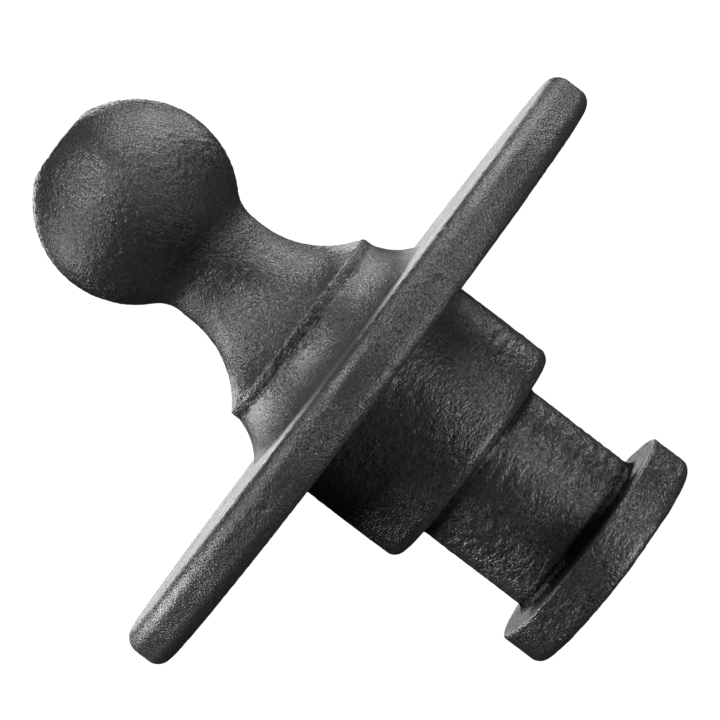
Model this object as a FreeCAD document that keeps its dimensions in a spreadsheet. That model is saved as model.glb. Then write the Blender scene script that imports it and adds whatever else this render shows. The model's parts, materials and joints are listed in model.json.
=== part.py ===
import FreeCAD, Part
import math
import os
import Sketcher

# Gooseneck hitch ball carried on a fifth-wheel kingpin. Millimetres, +Z up along the common
# axis. The origin is the middle of the plate's underside, the face that rides on the fifth
# wheel, so a _z size is a height above that face and a _depth size is measured below it.

SIZES = {
    # ball stud
    "ball_radius": 29.37,
    "ball_centre_z": 85.9,
    "ball_flat_latitude": 65.8,
    "ball_flat_round": 4.0,
    "neck_radius": 17.0,
    "neck_blend": 10.5,
    "flare_radius": 29.6,
    "flare_start_z": 53.3,
    "base_radius": 31.3,
    "base_lip_round": 1.4,
    "spigot_radius": 16.0,
    "spigot_length": 29.0,
    "spigot_chamfer": 1.5,
    # thrust plate
    "plate_radius": 101.6,
    "plate_thickness": 13.8,
    "upper_rim_round": 5.0,
    "lower_rim_round": 4.2,
    "root_bevel_width": 2.4,
    "root_bevel_depth": 8.0,
    "seal_bevel": 1.5,
    # kingpin
    "head_radius": 37.0,
    "socket_depth": 30.0,
    "collar_radius": 36.5,
    "collar_depth": 34.9,
    "collar_round": 3.5,
    "pin_radius": 25.4,
    "pin_depth": 72.4,
    "pin_blend": 2.6,
    "foot_radius": 35.7,
    "foot_depth": 85.9,
    "foot_top_round": 1.0,
    "foot_bottom_round": 3.2,
    # welds
    "ball_weld_width": 8.2,
    "ball_weld_height": 11.0,
    "ball_weld_hollow": 18.0,
}

# The flare's arc leaves the neck upright, so its radius fixes where it meets the lip.
LIP_Z = (
    "sizes.flare_start_z - sqrt(sizes.flare_radius^2"
    " - (sizes.flare_radius - sizes.base_radius + sizes.neck_radius)^2)"
)

# The blend under the ball touches both ball and neck: how far its centre lies below the
# ball's, and how far along the line between the two centres the surfaces meet.
BLEND_DROP = (
    "sqrt((sizes.ball_radius + sizes.neck_blend)^2 - (sizes.neck_radius + sizes.neck_blend)^2)"
)
BLEND_SHARE = "sizes.ball_radius / (sizes.ball_radius + sizes.neck_blend)"

FLAT_RADIUS = "sizes.ball_radius * cos(sizes.ball_flat_latitude * 1deg)"
FLAT_Z = "sizes.ball_centre_z + sizes.ball_radius * sin(sizes.ball_flat_latitude * 1deg)"

FULL_TURN = 360
SIZE_TOLERANCE = 0.01

# Sketcher's numbers for the ends of an edge, the sketch's origin and its two axes.
START = 1
END = 2
ORIGIN = (-1, 1)
LEVEL_AXIS = -1
UPRIGHT_AXIS = -2

doc = FreeCAD.newDocument("gooseneck_hitch_ball")


def make_sheet():
    sheet = doc.addObject("Spreadsheet::Sheet", "sizes")
    for row, (name, value) in enumerate(SIZES.items(), start=1):
        sheet.set(f"A{row}", name)
        sheet.set(f"B{row}", str(value))
        sheet.setAlias(f"B{row}", name)
    doc.recompute()


def make_body(label):
    body = doc.addObject("PartDesign::Body", label)
    body.Label = label
    return body


def attach(item, body, role):
    """Lays a sketch or a primitive on one of its own body's origin planes."""
    plane = next(feature for feature in body.Origin.OriginFeatures if feature.Role == role)
    item.AttachmentSupport = [(plane, "")]
    item.MapMode = "FlatFace"


def bind(sketch, constraint, name, expression):
    number = sketch.addConstraint(constraint)
    sketch.renameConstraint(number, name)
    sketch.setExpression(f"Constraints.{name}", expression)


def pin_corner(sketch, edge, end, name, expressions, place):
    """Holds one corner of an outline at the distances from the axes that the sheet gives."""
    kinds = ("DistanceX", "DistanceY")
    axes = (UPRIGHT_AXIS, LEVEL_AXIS)
    letters = ("x", "z")
    for kind, axis, letter, expression, value in zip(kinds, axes, letters, expressions, place):
        if abs(value) < SIZE_TOLERANCE:
            sketch.addConstraint(Sketcher.Constraint("PointOnObject", edge, end, axis))
        elif value > 0:
            constraint = Sketcher.Constraint(kind, *ORIGIN, edge, end, value)
            bind(sketch, constraint, f"{name}_{letter}", expression)
        else:
            constraint = Sketcher.Constraint(kind, edge, end, *ORIGIN, -value)
            bind(sketch, constraint, f"{name}_{letter}", f"-({expression})")


def arc_between(start, end, radius, side):
    """The short arc from start to end; side 1 puts its centre left of that way, -1 right."""
    half = (end - start) * 0.5
    across = FreeCAD.Vector(-half.y, half.x, 0).normalize()
    rise = math.sqrt(radius**2 - half.Length**2)
    centre = start + half + across * rise * side
    first, last = (start, end) if side > 0 else (end, start)
    angles = [math.atan2(point.y - centre.y, point.x - centre.x) for point in (first, last)]
    if angles[1] < angles[0]:
        angles[1] += 2 * math.pi
    circle = Part.Circle(centre, FreeCAD.Vector(0, 0, 1), radius)
    return Part.ArcOfCircle(circle, *angles)


def draw_outline(sketch, corners, bends):
    """Draws a closed outline. bends turns the edge after a corner into an arc."""
    names = list(corners)
    points = []
    for name in names:
        values = [float(sketch.evalExpression(expression)) for expression in corners[name]]
        points.append(FreeCAD.Vector(*values, 0))
    ends = []
    for number, name in enumerate(names):
        start = points[number]
        end = points[(number + 1) % len(points)]
        if name in bends:
            expression, side = bends[name]
            radius = float(sketch.evalExpression(expression))
            edge = sketch.addGeometry(arc_between(start, end, radius, side))
            bind(sketch, Sketcher.Constraint("Radius", edge, radius), f"{name}_bend", expression)
            ends.append((edge, START, END) if side > 0 else (edge, END, START))
        else:
            edge = sketch.addGeometry(Part.LineSegment(start, end))
            ends.append((edge, START, END))
    for number, name in enumerate(names):
        edge, first, _ = ends[number]
        previous, _, last = ends[number - 1]
        sketch.addConstraint(Sketcher.Constraint("Coincident", previous, last, edge, first))
        pin_corner(sketch, edge, first, name, corners[name], points[number])


def turn(body, name, corners, bends=None):
    """Turns an outline right round the axis. A corner is its radius and its height."""
    sketch = body.newObject("Sketcher::SketchObject", f"{name}_outline")
    attach(sketch, body, "XZ_Plane")
    doc.recompute()
    draw_outline(sketch, corners, bends or {})
    revolution = body.newObject("PartDesign::Revolution", name)
    revolution.Profile = sketch
    revolution.ReferenceAxis = (sketch, ["V_Axis"])
    revolution.Angle = FULL_TURN
    doc.recompute()


def draw_circle(body, name, radius, height="0"):
    sketch = body.newObject("Sketcher::SketchObject", name)
    attach(sketch, body, "XY_Plane")
    sketch.setExpression("AttachmentOffset.Base.z", height)
    doc.recompute()
    value = float(sketch.evalExpression(radius))
    sketch.addGeometry(Part.Circle(FreeCAD.Vector(0, 0, 0), FreeCAD.Vector(0, 0, 1), value))
    sketch.addConstraint(Sketcher.Constraint("Coincident", 0, 3, *ORIGIN))
    bind(sketch, Sketcher.Constraint("Radius", 0, value), "circle_radius", radius)
    return sketch


def ring_edges(feature, radius, height):
    """Names of the feature's round edges of this radius at this height."""
    wanted_radius = float(feature.evalExpression(radius))
    wanted_height = float(feature.evalExpression(height))
    found = []
    for number, edge in enumerate(feature.Shape.Edges, start=1):
        if not isinstance(edge.Curve, Part.Circle):
            continue
        right_radius = abs(edge.Curve.Radius - wanted_radius) < SIZE_TOLERANCE
        right_height = abs(edge.Curve.Center.z - wanted_height) < SIZE_TOLERANCE
        if right_radius and right_height:
            found.append(f"Edge{number}")
    if not found:
        raise RuntimeError(f"{feature.Name} has no edge {radius} at {height}")
    return found


def round_edges(body, name, rings, radius):
    """Rounds ring edges of the body's newest feature. A ring is its radius and its height."""
    base = body.Tip
    edges = [edge for ring in rings for edge in ring_edges(base, *ring)]
    fillet = body.newObject("PartDesign::Fillet", name)
    fillet.Base = (base, edges)
    fillet.setExpression("Radius", radius)
    doc.recompute()


def bevel_edges(body, name, rings, size):
    base = body.Tip
    edges = [edge for ring in rings for edge in ring_edges(base, *ring)]
    chamfer = body.newObject("PartDesign::Chamfer", name)
    chamfer.Base = (base, edges)
    chamfer.setExpression("Size", size)
    doc.recompute()


def make_ball_stud():
    """Ball, neck and flared base, turned in one with the spigot that centres it."""
    body = make_body("ball_stud")
    spigot_end = "sizes.plate_thickness - sizes.spigot_length"
    corners = {
        "spigot_middle": ("0", spigot_end),
        "spigot_edge": ("sizes.spigot_radius", spigot_end),
        "spigot_root": ("sizes.spigot_radius", "sizes.plate_thickness"),
        "base_edge": ("sizes.base_radius", "sizes.plate_thickness"),
        "lip": ("sizes.base_radius", LIP_Z),
        "neck_foot": ("sizes.neck_radius", "sizes.flare_start_z"),
        "neck_head": ("sizes.neck_radius", f"sizes.ball_centre_z - {BLEND_DROP}"),
        "ball_foot": (
            f"(sizes.neck_radius + sizes.neck_blend) * {BLEND_SHARE}",
            f"sizes.ball_centre_z - {BLEND_DROP} * {BLEND_SHARE}",
        ),
        "flat_edge": (FLAT_RADIUS, FLAT_Z),
        "flat_middle": ("0", FLAT_Z),
    }
    bends = {
        "lip": ("sizes.flare_radius", -1),
        "neck_head": ("sizes.neck_blend", -1),
        "ball_foot": ("sizes.ball_radius", 1),
    }
    turn(body, "stud_turning", corners, bends)
    round_edges(body, "flat_round", [(FLAT_RADIUS, FLAT_Z)], "sizes.ball_flat_round")
    round_edges(body, "lip_round", [("sizes.base_radius", LIP_Z)], "sizes.base_lip_round")
    bevel_edges(body, "spigot_tip", [("sizes.spigot_radius", spigot_end)], "sizes.spigot_chamfer")
    return body


def make_thrust_plate():
    """Round plate with rounded rims, its bore bevelled above and below for the welds."""
    body = make_body("thrust_plate")
    corners = {
        "seal_edge": ("sizes.head_radius + sizes.seal_bevel", "0"),
        "lower_rim": ("sizes.plate_radius", "0"),
        "upper_rim": ("sizes.plate_radius", "sizes.plate_thickness"),
        "root_edge": ("sizes.head_radius + sizes.root_bevel_width", "sizes.plate_thickness"),
        "bore_top": ("sizes.head_radius", "sizes.plate_thickness - sizes.root_bevel_depth"),
        "bore_bottom": ("sizes.head_radius", "sizes.seal_bevel"),
    }
    turn(body, "plate_turning", corners)
    upper_rim = ("sizes.plate_radius", "sizes.plate_thickness")
    round_edges(body, "upper_rim_round", [upper_rim], "sizes.upper_rim_round")
    lower_rim = ("sizes.plate_radius", "0")
    round_edges(body, "lower_rim_round", [lower_rim], "sizes.lower_rim_round")
    return body


def make_kingpin():
    """Head set in the plate, collar, neck and foot, bored from the top for the spigot."""
    body = make_body("kingpin")
    corners = {
        "foot_middle": ("0", "-sizes.foot_depth"),
        "foot_edge": ("sizes.foot_radius", "-sizes.foot_depth"),
        "foot_rim": ("sizes.foot_radius", "-sizes.pin_depth"),
        "pin_bottom": ("sizes.pin_radius", "-sizes.pin_depth"),
        "pin_top": ("sizes.pin_radius", "-sizes.collar_depth"),
        "collar_edge": ("sizes.collar_radius", "-sizes.collar_depth"),
        "collar_top": ("sizes.collar_radius", "0"),
        "head_bottom": ("sizes.head_radius", "0"),
        "head_top": ("sizes.head_radius", "sizes.plate_thickness"),
        "head_middle": ("0", "sizes.plate_thickness"),
    }
    turn(body, "kingpin_turning", corners)
    socket = body.newObject("PartDesign::Pocket", "spigot_socket")
    socket.Profile = draw_circle(
        body, "socket_circle", "sizes.spigot_radius", "sizes.plate_thickness"
    )
    socket.setExpression("Length", "sizes.socket_depth")
    doc.recompute()
    inside_corners = [
        ("sizes.pin_radius", "-sizes.collar_depth"),
        ("sizes.pin_radius", "-sizes.pin_depth"),
    ]
    round_edges(body, "pin_blends", inside_corners, "sizes.pin_blend")
    collar_corner = ("sizes.collar_radius", "-sizes.collar_depth")
    round_edges(body, "collar_corner", [collar_corner], "sizes.collar_round")
    foot_rim = ("sizes.foot_radius", "-sizes.pin_depth")
    round_edges(body, "foot_rim_round", [foot_rim], "sizes.foot_top_round")
    foot_edge = ("sizes.foot_radius", "-sizes.foot_depth")
    round_edges(body, "foot_bottom_edge", [foot_edge], "sizes.foot_bottom_round")
    return body


def make_ball_base_weld():
    """Hollow fillet weld from the plate's top up the side of the ball's base."""
    body = make_body("ball_base_weld")
    corners = {
        "root": ("sizes.base_radius", "sizes.plate_thickness"),
        "toe": ("sizes.base_radius + sizes.ball_weld_width", "sizes.plate_thickness"),
        "top": ("sizes.base_radius", "sizes.plate_thickness + sizes.ball_weld_height"),
    }
    turn(body, "ball_weld_bead", corners, {"toe": ("sizes.ball_weld_hollow", -1)})
    return body


def make_kingpin_root_weld():
    """Groove weld that fills the plate's upper bevel round the kingpin."""
    body = make_body("kingpin_root_weld")
    corners = {
        "bottom": ("sizes.head_radius", "sizes.plate_thickness - sizes.root_bevel_depth"),
        "outside": ("sizes.head_radius + sizes.root_bevel_width", "sizes.plate_thickness"),
        "inside": ("sizes.head_radius", "sizes.plate_thickness"),
    }
    turn(body, "root_weld_bead", corners)
    return body


def make_kingpin_seal_weld():
    """Small weld in the plate's lower bevel, dressed flush with the thrust face."""
    body = make_body("kingpin_seal_weld")
    corners = {
        "inside": ("sizes.head_radius", "0"),
        "outside": ("sizes.head_radius + sizes.seal_bevel", "0"),
        "top": ("sizes.head_radius", "sizes.seal_bevel"),
    }
    turn(body, "seal_weld_bead", corners)
    return body


def check_document(bodies):
    for item in doc.Objects:
        if "Invalid" in item.State or "Error" in item.State:
            raise RuntimeError(f"{item.Name} is {item.State}")
    for body in bodies:
        if body.Shape.isNull() or not body.Shape.isValid() or len(body.Shape.Solids) != 1:
            raise RuntimeError(f"{body.Label} has no valid single solid")


def main():
    make_sheet()
    bodies = [
        make_ball_stud(),
        make_thrust_plate(),
        make_kingpin(),
        make_ball_base_weld(),
        make_kingpin_root_weld(),
        make_kingpin_seal_weld(),
    ]
    doc.recompute()
    check_document(bodies)
    os.makedirs("parts", exist_ok=True)
    for body in bodies:
        body.Shape.exportStep(f"parts/{body.Label}.step")
        box = body.Shape.BoundBox
        print(f"{body.Label}: {body.Shape.Volume:.0f} mm3, z {box.ZMin:.2f} to {box.ZMax:.2f}")


main()
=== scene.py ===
import json
import math

import bpy
from mathutils import Matrix, Vector, noise


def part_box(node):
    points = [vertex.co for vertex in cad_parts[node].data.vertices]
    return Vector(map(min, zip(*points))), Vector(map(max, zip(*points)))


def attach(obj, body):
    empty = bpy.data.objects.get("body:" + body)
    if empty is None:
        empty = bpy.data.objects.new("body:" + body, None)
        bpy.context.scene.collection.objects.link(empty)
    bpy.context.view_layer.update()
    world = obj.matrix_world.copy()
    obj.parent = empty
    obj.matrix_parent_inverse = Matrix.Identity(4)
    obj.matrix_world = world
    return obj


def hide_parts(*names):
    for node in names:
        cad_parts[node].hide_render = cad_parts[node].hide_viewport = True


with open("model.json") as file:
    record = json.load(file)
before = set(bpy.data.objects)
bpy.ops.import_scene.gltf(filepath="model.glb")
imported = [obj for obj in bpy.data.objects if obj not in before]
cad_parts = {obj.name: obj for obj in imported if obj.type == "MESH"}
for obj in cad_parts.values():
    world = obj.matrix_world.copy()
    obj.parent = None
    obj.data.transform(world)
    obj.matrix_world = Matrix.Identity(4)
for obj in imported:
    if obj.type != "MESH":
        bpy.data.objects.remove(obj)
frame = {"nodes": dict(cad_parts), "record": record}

# Gooseneck hitch ball on a fifth-wheel kingpin: black-coated rough forgings welded to a round
# plate. Lengths are millimetres until a mesh, a light or a node takes them in metres.

MM = 0.001
UP = Vector((0, 0, 1))
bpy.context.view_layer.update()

# ---- sizes that the frame gives -------------------------------------------------------------

MOUNTS = {mount["name"]: mount for mount in frame["record"]["mounts"]}


def low(node):
    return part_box(node)[0] / MM


def high(node):
    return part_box(node)[1] / MM


BALL_RADIUS = MOUNTS["hitch_ball"]["dims"]["r_mm"]
BALL_Z = MOUNTS["hitch_ball"]["pos_m"][2] / MM
FLAT_Z = high("ball_stud").z
BASE_RADIUS = high("ball_stud").x
SPIGOT_END = low("ball_stud").z
PLATE_RADIUS = high("thrust_plate").x
PLATE_TOP = high("thrust_plate").z
HEAD_RADIUS = high("kingpin").x
COLLAR_RADIUS = MOUNTS["kingpin_collar"]["dims"]["r_mm"]
PIN_RADIUS = MOUNTS["kingpin_neck"]["dims"]["r_mm"]
FOOT_Z = low("kingpin").z
WELD_RADIUS = high("ball_base_weld").x
SEAL_RADIUS = high("kingpin_seal_weld").x
SEAL_TOP = high("kingpin_seal_weld").z
ROOT_RADIUS = high("kingpin_root_weld").x
ROOT_BOTTOM = low("kingpin_root_weld").z

# ---- sizes of the curves between them -------------------------------------------------------

FLAT_ROUND = 4.0
NECK_RADIUS = 17.0
NECK_BLEND = 10.5
FLARE_RADIUS = 29.6
FLARE_START = 53.3
LIP_ROUND = 1.4
SPIGOT_RADIUS = 16.0
SPIGOT_BEVEL = 1.5
SOCKET_DEPTH = 30.0
UPPER_RIM_ROUND = 5.0
LOWER_RIM_ROUND = 4.2
COLLAR_Z = -34.9
COLLAR_ROUND = 3.5
PIN_Z = -72.4
PIN_BLEND = 2.6
FOOT_RADIUS = 35.7
FOOT_TOP_ROUND = 1.0
FOOT_BOTTOM_ROUND = 3.2
WELD_TOP = 24.8
WELD_HOLLOW = 18.0
LIP_Z = FLARE_START - math.sqrt(
    FLARE_RADIUS**2 - (FLARE_RADIUS - BASE_RADIUS + NECK_RADIUS) ** 2
)

# The neck, the flare and the weld below them stand this far off the axis.
OFF_CENTRE = Vector((-0.3, 0, 0))

# Spacing of an outline's points: SHARP and TIGHT on small rounds, BEAD on the welds, FINE where
# roughness shows, COARSE on the flats, and HIDDEN where one piece sits in another.
SHARP = 0.3
TIGHT = 0.45
BEAD = 0.5
FINE = 0.62
COARSE = 1.6
HIDDEN = 3 * COARSE

# How many steps each outline is turned in.
STUD_STEPS = 360
PLATE_STEPS = 920
PIN_STEPS = 380
WELD_STEPS = 420

# ---- drawing outlines -----------------------------------------------------------------------


def bow(middle, radius, start, end, step=FINE):
    """Points along an arc, from the angle start to the angle end, in degrees from outwards."""
    count = max(2, round(abs(math.radians(end - start)) * radius / step))
    points = []
    for number in range(count + 1):
        angle = math.radians(start + (end - start) * number / count)
        points.append((middle[0] + radius * math.cos(angle), middle[1] + radius * math.sin(angle)))
    return points


def heading(start, end):
    """Angle of the way from one point to another, in degrees from outwards."""
    return math.degrees(math.atan2(end[1] - start[1], end[0] - start[0]))


def run(start, end, step=FINE):
    """Points along a straight line, without its two ends."""
    length = math.dist(start, end)
    count = max(1, round(length / step))
    points = []
    for number in range(1, count):
        share = number / count
        points.append(tuple(a + (b - a) * share for a, b in zip(start, end)))
    return points


def joined(*stretches, step=FINE):
    """One outline from arcs and corners, with points along the straight lines between them."""
    outline = list(stretches[0])
    for stretch in stretches[1:]:
        outline += run(outline[-1], stretch[0], step) + list(stretch)
    return outline


def stud_outline():
    round_z = FLAT_Z - FLAT_ROUND
    round_reach = math.sqrt((BALL_RADIUS - FLAT_ROUND) ** 2 - (round_z - BALL_Z) ** 2)
    ball = (0, BALL_Z)
    flat_round = (round_reach, round_z)
    blend_drop = math.sqrt((BALL_RADIUS + NECK_BLEND) ** 2 - (NECK_RADIUS + NECK_BLEND) ** 2)
    blend = (NECK_RADIUS + NECK_BLEND, BALL_Z - blend_drop)
    flare = (NECK_RADIUS + FLARE_RADIUS, FLARE_START)
    lip_r = BASE_RADIUS - LIP_ROUND
    lip_drop = math.sqrt((FLARE_RADIUS + LIP_ROUND) ** 2 - (flare[0] - lip_r) ** 2)
    lip = (lip_r, FLARE_START - lip_drop)
    under_ball = heading(ball, blend)
    lip_turn = heading(lip, flare)
    shown = joined(
        [(0, FLAT_Z)],
        bow(flat_round, FLAT_ROUND, 90, heading(ball, flat_round)),
        bow(ball, BALL_RADIUS, heading(ball, flat_round), under_ball),
        bow(blend, NECK_BLEND, under_ball + 180, 180),
        bow(flare, FLARE_RADIUS, 180, lip_turn + 180),
        bow(lip, LIP_ROUND, lip_turn, 0, SHARP),
        [(BASE_RADIUS, PLATE_TOP)],
    )
    return joined(
        shown,
        [(SPIGOT_RADIUS, PLATE_TOP)],
        [(SPIGOT_RADIUS, SPIGOT_END + SPIGOT_BEVEL)],
        [(SPIGOT_RADIUS - SPIGOT_BEVEL, SPIGOT_END)],
        [(0, SPIGOT_END)],
        step=HIDDEN,
    )


def plate_outline():
    upper = (PLATE_RADIUS - UPPER_RIM_ROUND, PLATE_TOP - UPPER_RIM_ROUND)
    lower = (PLATE_RADIUS - LOWER_RIM_ROUND, LOWER_RIM_ROUND)
    top = joined([(ROOT_RADIUS, PLATE_TOP)], bow(upper, UPPER_RIM_ROUND, 90, 0), step=COARSE)
    rim = joined(top, bow(lower, LOWER_RIM_ROUND, 0, -90))
    bottom = joined(rim, [(SEAL_RADIUS, 0)], step=COARSE)
    bore = joined([(HEAD_RADIUS, SEAL_TOP)], [(HEAD_RADIUS, ROOT_BOTTOM)], step=HIDDEN)
    return bottom + bore + [(ROOT_RADIUS, PLATE_TOP)]


def kingpin_outline():
    collar = (COLLAR_RADIUS - COLLAR_ROUND, COLLAR_Z + COLLAR_ROUND)
    upper_blend = (PIN_RADIUS + PIN_BLEND, COLLAR_Z - PIN_BLEND)
    lower_blend = (PIN_RADIUS + PIN_BLEND, PIN_Z + PIN_BLEND)
    foot_top = (FOOT_RADIUS - FOOT_TOP_ROUND, PIN_Z - FOOT_TOP_ROUND)
    foot_bottom = (FOOT_RADIUS - FOOT_BOTTOM_ROUND, FOOT_Z + FOOT_BOTTOM_ROUND)
    socket_z = PLATE_TOP - SOCKET_DEPTH
    hidden = joined(
        [(0, socket_z)],
        [(SPIGOT_RADIUS, socket_z)],
        [(SPIGOT_RADIUS, PLATE_TOP)],
        [(HEAD_RADIUS, PLATE_TOP)],
        [(HEAD_RADIUS, 0)],
        step=HIDDEN,
    )
    shown = joined(
        [(COLLAR_RADIUS, 0)],
        bow(collar, COLLAR_ROUND, 0, -90),
        bow(upper_blend, PIN_BLEND, 90, 180, TIGHT),
        bow(lower_blend, PIN_BLEND, 180, 270, TIGHT),
        bow(foot_top, FOOT_TOP_ROUND, 90, 0, SHARP),
        bow(foot_bottom, FOOT_BOTTOM_ROUND, 0, -90),
    )
    return hidden + joined(shown, [(0, FOOT_Z)], step=COARSE)


def ball_weld_outline():
    toe = Vector((WELD_RADIUS, PLATE_TOP))
    top = Vector((BASE_RADIUS, WELD_TOP))
    half = (top - toe) / 2
    across = Vector((-half.y, half.x)).normalized()
    middle = toe + half - across * math.sqrt(WELD_HOLLOW**2 - half.length_squared)
    face = bow(middle, WELD_HOLLOW, heading(middle, toe), heading(middle, top), BEAD)
    return joined([(BASE_RADIUS, PLATE_TOP)], face, [(BASE_RADIUS, PLATE_TOP)])


def seal_weld_outline():
    return joined(
        [(HEAD_RADIUS, 0)],
        [(SEAL_RADIUS, 0)],
        [(HEAD_RADIUS, SEAL_TOP)],
        [(HEAD_RADIUS, 0)],
        step=BEAD,
    )


# ---- modelling ------------------------------------------------------------------------------

MERGE_DISTANCE = 0.001
SMOOTH_ANGLE = 50


def deselect():
    bpy.ops.object.select_all(action="DESELECT")


def turn(name, outline, steps):
    """Draws the outline from one corner onwards and turns it right round the axis."""
    deselect()
    bpy.ops.mesh.primitive_plane_add(size=MM, location=(0, 0, 0))
    piece = bpy.context.object
    piece.name = name
    piece.data.name = name
    bpy.ops.object.mode_set(mode="EDIT")
    bpy.ops.mesh.select_mode(type="VERT")
    bpy.ops.mesh.merge(type="CENTER")
    here = (0, 0)
    for number, place in enumerate(outline):
        move = (MM * (place[0] - here[0]), 0, MM * (place[1] - here[1]))
        if number:
            bpy.ops.mesh.extrude_region_move(TRANSFORM_OT_translate={"value": move})
        else:
            bpy.ops.transform.translate(value=move)
        here = place
    bpy.ops.object.mode_set(mode="OBJECT")
    screw = piece.modifiers.new("turning", "SCREW")
    screw.axis = "Z"
    screw.angle = 2 * math.pi
    screw.steps = steps
    screw.render_steps = steps
    bpy.ops.object.modifier_apply(modifier="turning")
    bpy.ops.object.mode_set(mode="EDIT")
    bpy.ops.mesh.select_all(action="SELECT")
    bpy.ops.mesh.remove_doubles(threshold=MERGE_DISTANCE * MM)
    bpy.ops.mesh.normals_make_consistent(inside=False)
    bpy.ops.object.mode_set(mode="OBJECT")
    return piece


def ramp(value, start, end):
    """0 before start, 1 after end, and smooth between them."""
    share = min(1, max(0, (value - start) / (end - start)))
    return share * share * (3 - 2 * share)


def band(value, start, end, edge):
    """1 between start and end, 0 outside them, and smooth for an edge's width either way."""
    return ramp(value, start - edge, start + edge) * (1 - ramp(value, end - edge, end + edge))


def paint(piece, name, weigh):
    """Paints a vertex group: weigh takes a point in millimetres and gives 0 to 1."""
    group = piece.vertex_groups.new(name=name)
    for vertex in piece.data.vertices:
        weight = weigh(vertex.co / MM)
        if weight > 0.001:
            group.add([vertex.index], min(1, weight), "REPLACE")


def store_corner_shade(piece, weigh):
    """Stores where the material paints shade into the corners: 0 to 1 at a point in millimetres.
    """
    layer = piece.data.attributes.new("corner", "FLOAT", "POINT")
    for vertex in piece.data.vertices:
        layer.data[vertex.index].value = weigh(vertex.co / MM)


# Widths in millimetres, and how much of the sandy skin is left between its patches.
SANDY_PATCH = 22
BROKEN_STRETCH = 13
SMOOTH_SHARE = 0.2


def sandy(point):
    """Where the surface kept its sandy skin: in full in patches as wide as SANDY_PATCH."""
    patches = noise.noise(point / SANDY_PATCH + Vector((3.1, 0.4, 1.7)))
    return SMOOTH_SHARE + (1 - SMOOTH_SHARE) * ramp(patches, -0.25, 0.15)


def broken(point):
    """Where the weld left the crevice open: in stretches about as long as BROKEN_STRETCH."""
    stretches = noise.noise(point / BROKEN_STRETCH + Vector((0.7, 2.3, 5.2)))
    return ramp(stretches, -0.05, 0.2)


def roughen(piece, name, grain, depth, middle, group, octaves=1, stretch=(1, 1, 1), slant=0):
    """Moves the surface in and out by a noise of this grain, in millimetres, and applies it.

    middle is the share of the depth that goes inwards, stretch draws the grain out along the
    axes, and slant turns it by this many degrees.
    """
    texture = bpy.data.textures.new(name, "CLOUDS")
    texture.noise_scale = grain * MM
    texture.noise_depth = octaves
    bpy.ops.object.empty_add(rotation=(0, math.radians(slant), 0))
    place = bpy.context.object
    place.scale = stretch
    bpy.context.view_layer.update()
    modifier = piece.modifiers.new(name, "DISPLACE")
    modifier.texture = texture
    modifier.texture_coords = "OBJECT"
    modifier.texture_coords_object = place
    modifier.strength = depth * MM
    modifier.mid_level = middle
    modifier.vertex_group = group
    deselect()
    bpy.context.view_layer.objects.active = piece
    piece.select_set(True)
    bpy.ops.object.modifier_apply(modifier=name)
    bpy.data.objects.remove(place)
    bpy.data.textures.remove(texture)


def dent(piece, azimuth, height, radius, reach, depth):
    """Presses a round mark with a raised edge into a wall of this radius, as a blow would."""
    angle = math.radians(azimuth)
    outwards = Vector((math.sin(angle), -math.cos(angle), 0))
    spot = (outwards * radius + UP * height) * MM
    for vertex in piece.data.vertices:
        share = (vertex.co - spot).length / (reach * MM)
        if share < 1:
            vertex.co -= outwards * depth * MM * math.cos(1.5 * math.pi * share) * (1 - share)


LEAN_EASE = 4


def lean(piece):
    """Moves what stands between the plate and the ball off the axis, easing in and out."""
    for vertex in piece.data.vertices:
        share = band(vertex.co.z / MM, PLATE_TOP, BALL_Z - BALL_RADIUS, LEAN_EASE)
        vertex.co += OFF_CENTRE * MM * share


def keep_inside(piece):
    """Brings back any point that the roughness pushed past the frame's outermost faces."""
    for vertex in piece.data.vertices:
        reach = math.hypot(vertex.co.x, vertex.co.y)
        if reach > PLATE_RADIUS * MM:
            vertex.co.xy *= PLATE_RADIUS * MM / reach
        vertex.co.z = min(FLAT_Z * MM, max(FOOT_Z * MM, vertex.co.z))


def finish_piece(piece, material, node):
    piece.data.materials.clear()
    piece.data.materials.append(material)
    piece.vertex_groups.clear()
    keep_inside(piece)
    deselect()
    bpy.context.view_layer.objects.active = piece
    piece.select_set(True)
    bpy.ops.object.shade_smooth_by_angle(angle=math.radians(SMOOTH_ANGLE))
    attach(piece, "root")
    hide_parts(node)


# ---- materials ------------------------------------------------------------------------------

ENAMEL_IOR = 1.5
# The grain's crests are painted grey and its hollows black, with less shine in the hollows: partly
# rubbed wear, and partly painted highlight on the crests and painted shade in the hollows.
HOLLOW_BLACK = "#0d0d0e"
CREST_BLACK = "#3f3f40"
# Painted shade in the corners: a darker tone and almost no shine where the corner attribute is
# set.
CORNER_SHADE_BLACK = "#060606"
CORNER_SHADE_SHEEN = 0.05
SHEEN_IN_HOLLOWS = 0.25
SHEEN_ON_CRESTS = 0.75
ROUGHNESS_SWING = 0.06
THINNEST_SAND = 0.45
COAT_PATCH = 18

# The noises lie mostly between these values, so they are stretched from there.
PATCH_START, PATCH_END = 0.3, 0.65
SAND_START, SAND_END = 0.3, 0.7
SHEEN_START, SHEEN_END = 0.35, 0.65


def colour(code):
    """Linear colour from an sRGB hex code."""
    channels = []
    for start in (1, 3, 5):
        value = int(code[start:start + 2], 16) / 255
        channels.append(value / 12.92 if value <= 0.04045 else ((value + 0.055) / 1.055) ** 2.4)
    return (*channels, 1)


def per(size):
    """Noise scale for features of this size in millimetres, on coordinates in metres."""
    return 1 / (size * MM)


def add(material, kind, settings=None, links=None):
    """Adds a node. Settings name its properties or sockets, and links name what feeds them."""
    tree = material.node_tree
    node = tree.nodes.new(kind)
    for name, value in (settings or {}).items():
        if isinstance(name, int) or name in node.inputs:
            node.inputs[name].default_value = value
        else:
            setattr(node, name, value)
    for name, source in (links or {}).items():
        tree.links.new(source, node.inputs[name])
    return node


def new_material(name):
    material = bpy.data.materials.new(name)
    material.use_nodes = True
    material.node_tree.nodes.clear()
    return material


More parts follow.
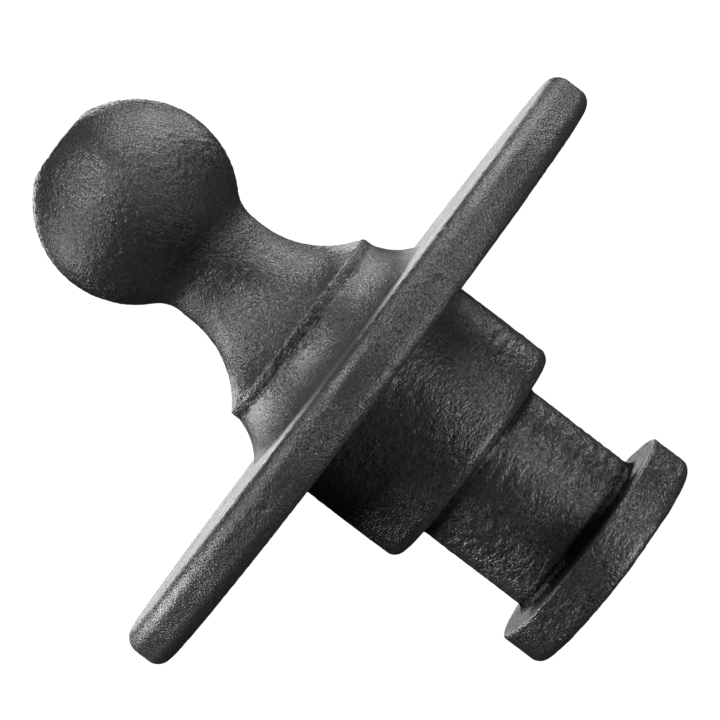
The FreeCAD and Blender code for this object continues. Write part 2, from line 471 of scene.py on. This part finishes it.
def black_coat(name, grain, grain_depth, peel, peel_depth, roughness, stretch=(1, 1, 1)):
    """Semi-gloss black enamel over rough steel. Lengths are millimetres.

    The grain is the sand or scale that the coat lies on, and the peel is the coat's own ripple.
    Real blasting grit leaves pits of about 0.3 mm. They are drawn twice as wide, because finer
    ones don't show. The crests are painted grey, partly as rubbed wear and partly as a painted
    highlight, and the hollows are painted black with less shine, as painted shade. The corner
    attribute paints shade into the corners.
    """
    material = new_material(name)
    place = add(material, "ShaderNodeTexCoord").outputs["Object"]
    where = add(
        material, "ShaderNodeMapping", {"Scale": stretch}, {"Vector": place}
    ).outputs["Vector"]
    patches = add(
        material, "ShaderNodeTexNoise", {"Scale": per(COAT_PATCH), "Detail": 1.5},
        {"Vector": place},
    ).outputs["Fac"]
    cover = add(
        material, "ShaderNodeMapRange",
        {
            "From Min": PATCH_START, "From Max": PATCH_END,
            "To Min": THINNEST_SAND, "To Max": 1.0,
        },
        {"Value": patches},
    ).outputs["Result"]
    sand = add(
        material, "ShaderNodeTexNoise",
        {"Scale": per(grain), "Detail": 2, "Roughness": 0.6}, {"Vector": where},
    ).outputs["Fac"]
    sand_offset = add(
        material, "ShaderNodeMath", {"operation": "SUBTRACT", 1: 0.5}, {0: sand}
    ).outputs["Value"]
    sand_height = add(
        material, "ShaderNodeMath", {"operation": "MULTIPLY_ADD", 2: 0.5},
        {0: sand_offset, 1: cover},
    ).outputs["Value"]
    sand_bump = add(
        material, "ShaderNodeBump", {"Distance": grain_depth * MM, "Strength": 1.0},
        {"Height": sand_height},
    ).outputs["Normal"]
    ripple = add(
        material, "ShaderNodeTexNoise", {"Scale": per(peel), "Detail": 2}, {"Vector": where}
    ).outputs["Fac"]
    bump = add(
        material, "ShaderNodeBump", {"Distance": peel_depth * MM, "Strength": 1.0},
        {"Height": ripple, "Normal": sand_bump},
    ).outputs["Normal"]
    # Crests painted grey as rubbed wear and painted highlight, hollows painted black as painted
    # shade.
    crests = add(
        material, "ShaderNodeMapRange",
        {"From Min": SAND_START, "From Max": SAND_END, "To Min": 0.0, "To Max": 1.0},
        {"Value": sand_height},
    ).outputs["Result"]
    # The corner attribute darkens the tone and takes the shine away: painted shade in the corners.
    corner_shade = add(
        material, "ShaderNodeAttribute", {"attribute_name": "corner"}
    ).outputs["Fac"]
    grain_tone = add(
        material, "ShaderNodeMix",
        {"data_type": "RGBA", 6: colour(HOLLOW_BLACK), 7: colour(CREST_BLACK)}, {0: crests},
    ).outputs[2]
    tone = add(
        material, "ShaderNodeMix", {"data_type": "RGBA", 7: colour(CORNER_SHADE_BLACK)},
        {0: corner_shade, 6: grain_tone},
    ).outputs[2]
    dull = roughness + ROUGHNESS_SWING
    shiny = roughness - ROUGHNESS_SWING
    dulling = add(
        material, "ShaderNodeMapRange",
        {"From Min": SAND_START, "From Max": SAND_END, "To Min": dull, "To Max": shiny},
        {"Value": sand_height},
    ).outputs["Result"]
    # Less shine in the hollows than on the crests: painted shade in the hollows.
    grain_sheen = add(
        material, "ShaderNodeMapRange",
        {
            "From Min": SHEEN_START, "From Max": SHEEN_END,
            "To Min": SHEEN_IN_HOLLOWS, "To Max": SHEEN_ON_CRESTS,
        },
        {"Value": sand_height},
    ).outputs["Result"]
    sheen = add(
        material, "ShaderNodeMix", {"data_type": "FLOAT", 3: CORNER_SHADE_SHEEN},
        {0: corner_shade, 2: grain_sheen},
    ).outputs[0]
    shader = add(
        material, "ShaderNodeBsdfPrincipled", {"IOR": ENAMEL_IOR, "Metallic": 0.0},
        {"Base Color": tone, "Roughness": dulling, "Specular IOR Level": sheen, "Normal": bump},
    )
    add(material, "ShaderNodeOutputMaterial", None, {"Surface": shader.outputs["BSDF"]})
    return material


def coat_over_forging():
    """Black enamel over a shot-blasted forging: a sandy skin under a broad soft shine."""
    return black_coat(
        "black_enamel_over_forging",
        grain=0.62, grain_depth=0.45, peel=2.6, peel_depth=0.10, roughness=0.25,
    )


def coat_over_plate():
    """Black enamel over a flame-cut and ground plate: fine even sand, a little duller."""
    return black_coat(
        "black_enamel_over_plate",
        grain=0.6, grain_depth=0.45, peel=3.0, peel_depth=0.10, roughness=0.32,
    )


def coat_over_kingpin():
    """Black enamel over wrinkled forging scale: ripples round the pin, painted shade in its
    corners.
    """
    return black_coat(
        "black_enamel_over_scale",
        grain=0.62, grain_depth=0.38, peel=1.5, peel_depth=0.26, roughness=0.31,
        stretch=(0.6, 0.6, 1),
    )


def coat_over_weld():
    """Black enamel over a ground fillet weld: shallower sand and a duller shine."""
    return black_coat(
        "black_enamel_over_weld",
        grain=0.6, grain_depth=0.30, peel=3.0, peel_depth=0.12, roughness=0.33,
    )


WELD_RIPPLE = 1.5
WELD_RIPPLE_DEPTH = 0.2


def bare_weld_steel():
    """Weld steel as laid, grey and ripply: never seen, since it lies under the ball's base."""
    material = new_material("bare_weld_steel")
    place = add(material, "ShaderNodeTexCoord").outputs["Object"]
    ripple = add(
        material, "ShaderNodeTexNoise", {"Scale": per(WELD_RIPPLE), "Detail": 3},
        {"Vector": place},
    ).outputs["Fac"]
    bump = add(
        material, "ShaderNodeBump", {"Distance": WELD_RIPPLE_DEPTH * MM}, {"Height": ripple}
    ).outputs["Normal"]
    tone = add(
        material, "ShaderNodeMix",
        {"data_type": "RGBA", 6: colour("#6d6a66"), 7: colour("#8f8b86")}, {0: ripple},
    ).outputs[2]
    shader = add(
        material, "ShaderNodeBsdfPrincipled", {"Metallic": 1.0, "Roughness": 0.45},
        {"Base Color": tone, "Normal": bump},
    )
    add(material, "ShaderNodeOutputMaterial", None, {"Surface": shader.outputs["BSDF"]})
    return material


def studio_white():
    """The studio's white sweep, lit until it has no shade of its own."""
    material = new_material("studio_white")
    glow = add(material, "ShaderNodeEmission", {"Color": colour("#ffffff"), "Strength": 1.05})
    add(material, "ShaderNodeOutputMaterial", None, {"Surface": glow.outputs["Emission"]})
    return material


# ---- pieces ---------------------------------------------------------------------------------


def above_plate(point):
    return ramp(point.z, PLATE_TOP - 1, PLATE_TOP + 1)


def on_lip(point):
    return band(point.z, LIP_Z - 1.2, LIP_Z + 1.2, 1.0)


def open_crevice(point):
    """The gap between the weld's upper edge and the lip, where it is open."""
    return broken(point) * band(point.z, WELD_TOP - 1, LIP_Z - 2.2, 0.7)


def make_ball_stud():
    stud = turn("ball_stud_forging", stud_outline(), STUD_STEPS)
    paint(stud, "skin", above_plate)
    paint(stud, "sandy", lambda point: sandy(point) * above_plate(point))
    paint(stud, "lip", on_lip)
    paint(stud, "crevice", open_crevice)
    roughen(stud, "forging_waves", grain=14, depth=0.12, middle=0.6, group="skin")
    roughen(stud, "forging_lumps", grain=2.4, depth=0.12, middle=0.7, group="skin")
    roughen(stud, "forging_grit", grain=1.2, depth=0.34, middle=0.7, group="sandy", octaves=0)
    roughen(
        stud, "lip_nicks", grain=2.0, depth=0.28, middle=0.7, group="lip",
        stretch=(1.6, 1.6, 1),
    )
    roughen(
        stud, "lip_undercut", grain=1.5, depth=0.8, middle=0.7, group="crevice",
        octaves=2, stretch=(2, 2, 1),
    )
    lean(stud)
    finish_piece(stud, coat_over_forging(), "ball_stud")


def outside_bore(point):
    return ramp(point.xy.length, ROOT_RADIUS, ROOT_RADIUS + 1)


def sandy_plate(point):
    return sandy(point) * ramp(point.xy.length, ROOT_RADIUS, WELD_RADIUS)


def make_thrust_plate():
    plate = turn("thrust_plate_disc", plate_outline(), PLATE_STEPS)
    paint(plate, "skin", outside_bore)
    paint(plate, "sandy", sandy_plate)
    roughen(plate, "plate_waves", grain=16, depth=0.12, middle=0.8, group="skin")
    roughen(plate, "plate_ripples", grain=2.6, depth=0.10, middle=0.8, group="skin")
    roughen(plate, "plate_grit", grain=1.3, depth=0.2, middle=0.8, group="sandy", octaves=0)
    dent(plate, azimuth=17.4, height=7.0, radius=PLATE_RADIUS, reach=3.6, depth=1.1)
    dent(plate, azimuth=-25.0, height=6.3, radius=PLATE_RADIUS, reach=3.0, depth=1.0)
    finish_piece(plate, coat_over_plate(), "thrust_plate")


def below_plate(point):
    return 1 - ramp(point.z, -1, 0)


def foot_corner(point):
    """Painted shade on the foot's top and in the corner above it, up to the foot's rim."""
    near_foot = band(point.z, PIN_Z - 0.6, PIN_Z + 3.2, 0.8)
    return near_foot * (1 - ramp(point.xy.length, FOOT_RADIUS - 1.5, FOOT_RADIUS - 0.3))


def collar_corner(point):
    """Fainter painted shade in the corner under the collar."""
    near_collar = band(point.z, COLLAR_Z - 2.5, COLLAR_Z + 0.5, 0.8)
    return 0.6 * near_collar * (1 - ramp(point.xy.length, 31, 34))


def make_kingpin():
    pin = turn("kingpin_forging", kingpin_outline(), PIN_STEPS)
    paint(pin, "skin", below_plate)
    paint(pin, "folded", lambda point: sandy(point) * below_plate(point))
    roughen(pin, "scale_waves", grain=12, depth=0.15, middle=0.7, group="skin")
    roughen(pin, "scale_ripples", grain=2.6, depth=0.10, middle=0.7, group="skin")
    roughen(
        pin, "scale_folds", grain=1.9, depth=0.48, middle=0.7, group="folded",
        stretch=(2.6, 2.6, 1), slant=10,
    )
    roughen(pin, "scale_grit", grain=1.2, depth=0.14, middle=0.7, group="folded", octaves=0)
    dent(pin, azimuth=26, height=-60, radius=PIN_RADIUS, reach=1.6, depth=0.7)
    dent(pin, azimuth=-8, height=-14, radius=COLLAR_RADIUS, reach=1.2, depth=0.6)
    # Painted shade in the corner above the foot and under the collar.
    store_corner_shade(pin, lambda point: foot_corner(point) + collar_corner(point))
    finish_piece(pin, coat_over_kingpin(), "kingpin")


def weld_face(point):
    return ramp(point.xy.length, BASE_RADIUS, BASE_RADIUS + 0.5)


def weld_upper_edge(point):
    return ramp(point.z, WELD_TOP - 4.5, WELD_TOP - 0.5)


def make_ball_base_weld():
    weld = turn("ball_base_weld_bead", ball_weld_outline(), WELD_STEPS)
    paint(weld, "skin", weld_face)
    paint(weld, "upper_edge", weld_upper_edge)
    roughen(weld, "bead_waves", grain=9, depth=0.2, middle=0.5, group="skin")
    roughen(weld, "bead_lumps", grain=2.4, depth=0.12, middle=0.5, group="skin")
    roughen(
        weld, "bead_edge", grain=1.5, depth=0.5, middle=0.6, group="upper_edge",
        octaves=2, stretch=(2, 2, 1),
    )
    lean(weld)
    finish_piece(weld, coat_over_weld(), "ball_base_weld")


def make_kingpin_seal_weld():
    weld = turn("kingpin_seal_weld_bead", seal_weld_outline(), WELD_STEPS)
    paint(weld, "skin", lambda point: 1 - ramp(point.z, 0, 0.2))
    roughen(weld, "seal_ripple", grain=1.8, depth=0.2, middle=1.0, group="skin")
    finish_piece(weld, coat_over_weld(), "kingpin_seal_weld")


def dress_hidden_weld():
    node = frame["nodes"]["kingpin_root_weld"]
    node.material_slots[0].material = bare_weld_steel()


# ---- stage, lights and camera ---------------------------------------------------------------

# From here on, lengths are metres and powers are watts.
STUDIO_RADIUS = 3.0
PLATE_MIDDLE = (0, 0, 0.02)
PLATE_LEFT_END = (-0.1, 0, 0.007)
STUDIO_AIR = "#0d0d0d"

# Each light's direction from the plate's middle, its width, its height and its power.
SOFTBOXES = {
    "left_softbox": ((-0.20, -0.55, 0.81), 0.5, 0.5, 16),
    "right_softbox": ((0.25, -0.59, -0.77), 0.5, 0.5, 11),
    "front_right_softbox": ((0.52, -0.74, -0.42), 0.35, 0.35, 3.5),
    "overhead_softbox": ((0.78, 0.21, 0.59), 0.5, 0.5, 11),
    "overhead_front_softbox": ((0.86, -0.41, 0.31), 0.5, 0.5, 9),
    "low_left_softbox": ((-0.85, -0.38, 0.42), 0.5, 0.5, 6),
    "low_left_back_softbox": ((-0.86, 0.36, 0.38), 0.5, 0.5, 5),
    "back_softbox": ((0.0, 0.95, 0.35), 0.8, 0.4, 4),
    "back_right_softbox": ((0.80, 0.58, 0.15), 0.4, 0.4, 3),
}

LENS = 168.35
SENSOR_WIDTH = 36
CLIP_START = 0.01
CAMERA_EYE = Vector((0.0027, -0.96, 0.02845))
CAMERA_AIM = Vector((0.0027, 0, 0.00786))
CAMERA_ROLL = math.radians(37.15)
CAMERA_UP = Vector((math.cos(CAMERA_ROLL), 0, math.sin(CAMERA_ROLL)))


def stage_piece(piece, name, material):
    """A stage piece only fills the view: it neither lights the object nor shades it."""
    piece.name = name
    piece.data.materials.append(material)
    piece.visible_diffuse = False
    piece.visible_glossy = False
    piece.visible_transmission = False
    piece.visible_shadow = False


def make_stage():
    white = studio_white()
    deselect()
    bpy.ops.mesh.primitive_circle_add(
        vertices=64, radius=STUDIO_RADIUS, fill_type="NGON", location=(0, 0, FOOT_Z * MM)
    )
    stage_piece(bpy.context.object, "studio_floor", white)
    deselect()
    bpy.ops.mesh.primitive_uv_sphere_add(segments=48, ring_count=24, radius=STUDIO_RADIUS)
    stage_piece(bpy.context.object, "studio_backdrop", white)


def softbox(name, direction, width, height, power, distance=1.3, target=PLATE_MIDDLE):
    """A soft light in this direction from the target, facing it."""
    data = bpy.data.lights.new(name, "AREA")
    data.shape = "RECTANGLE"
    data.size = width
    data.size_y = height
    data.energy = power
    light = bpy.data.objects.new(name, data)
    bpy.context.scene.collection.objects.link(light)
    way = Vector(direction).normalized()
    light.location = Vector(target) + way * distance
    light.rotation_mode = "QUATERNION"
    light.rotation_quaternion = way.to_track_quat("Z", "Y")
    light.visible_camera = False
    return data


def light_studio():
    for name, (direction, width, height, power) in SOFTBOXES.items():
        softbox(name, direction, width, height, power)
    end_softbox = softbox(
        "left_end_softbox", (-0.77, 0.40, 0.50), 0.12, 0.12, 0.035,
        distance=0.15, target=PLATE_LEFT_END,
    )
    end_softbox.spread = math.radians(34)
    world = bpy.data.worlds.new("studio_air")
    bpy.context.scene.world = world
    world.use_nodes = True
    world.node_tree.nodes["Background"].inputs["Color"].default_value = colour(STUDIO_AIR)


def place_camera():
    data = bpy.data.cameras.new("camera")
    data.lens = LENS
    data.sensor_width = SENSOR_WIDTH
    data.clip_start = CLIP_START
    camera = bpy.data.objects.new("camera", data)
    bpy.context.scene.collection.objects.link(camera)
    back = (CAMERA_EYE - CAMERA_AIM).normalized()
    up = (CAMERA_UP - back * CAMERA_UP.dot(back)).normalized()
    turned = Matrix((up.cross(back), up, back)).transposed().to_4x4()
    turned.translation = CAMERA_EYE
    camera.matrix_world = turned
    bpy.context.scene.camera = camera


bpy.context.scene.view_settings.view_transform = "Standard"
place_camera()
make_ball_stud()
make_thrust_plate()
make_kingpin()
make_ball_base_weld()
make_kingpin_seal_weld()
dress_hidden_weld()
make_stage()
light_studio()
